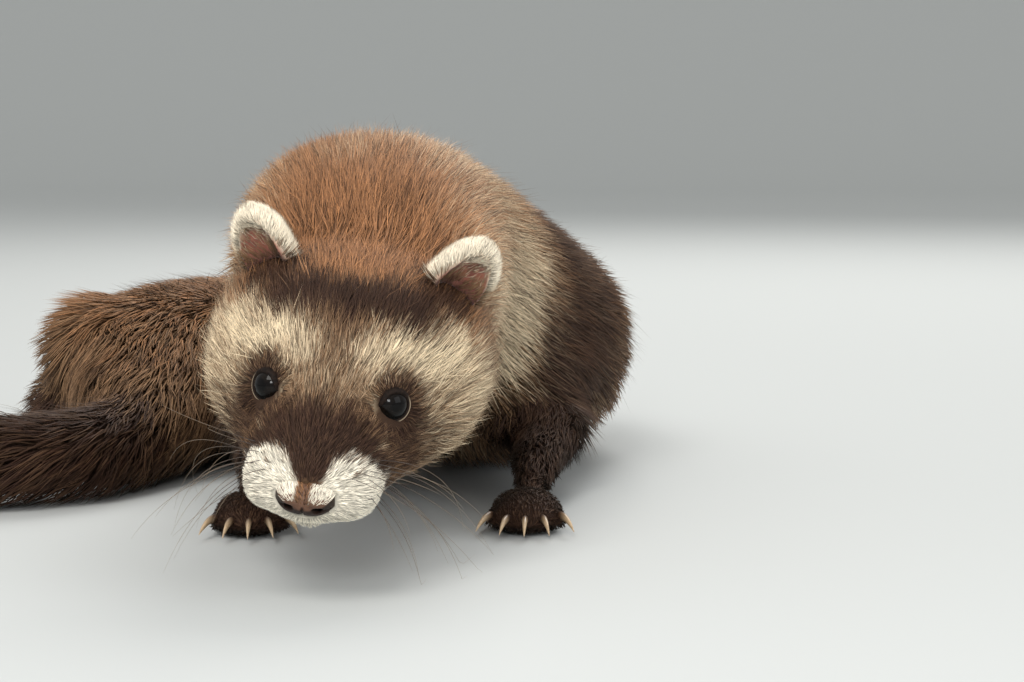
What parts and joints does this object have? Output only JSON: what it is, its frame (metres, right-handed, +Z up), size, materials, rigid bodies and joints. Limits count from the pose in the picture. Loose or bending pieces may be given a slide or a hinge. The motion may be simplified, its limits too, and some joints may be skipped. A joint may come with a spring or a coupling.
{
  "type": "ferret",
  "caption": "Sable ferret, life size, crouched with its head lowered, body curled round to its right and tail lying on the floor.",
  "frame": {"origin": "on the floor, under the middle of the animal's bounding box", "axes": "+Z up, the animal faces -Y at the head, +X is its left side at the head"},
  "size_m": [0.2132, 0.2776, 0.0883],
  "materials": {
    "coat_pale": "short dense fur, cream tips over brown, matt",
    "coat_brown": "long tawny-brown fur with dark guard hairs, matt",
    "coat_dark": "dark brown fur, matt",
    "ear_pale": "thin skin with a thick cream rim of short fur",
    "nose_skin": "moist bare skin, slightly glossy",
    "eye_black": "wet and glossy, near black"
  },
  "bodies": {
    "root": {"head": "coat_pale", "neck": "coat_brown", "torso_shoulders": "coat_brown", "torso_ribs": "coat_brown", "torso_loin_front": "coat_brown", "torso_loin_rear": "coat_brown", "torso_rump": "coat_brown", "tail_base": "coat_dark", "tail_tip": "coat_dark", "foreleg_left": "coat_dark", "foreleg_right": "coat_dark", "forepaw_left": "coat_dark", "forepaw_right": "coat_dark", "hindleg_left": "coat_dark", "hindleg_right": "coat_dark", "hindpaw_left": "coat_dark", "hindpaw_right": "coat_dark", "ear_left": "ear_pale", "ear_right": "ear_pale", "nose": "nose_skin", "eye_left": "eye_black", "eye_right": "eye_black"}
  },
  "joints": []
}
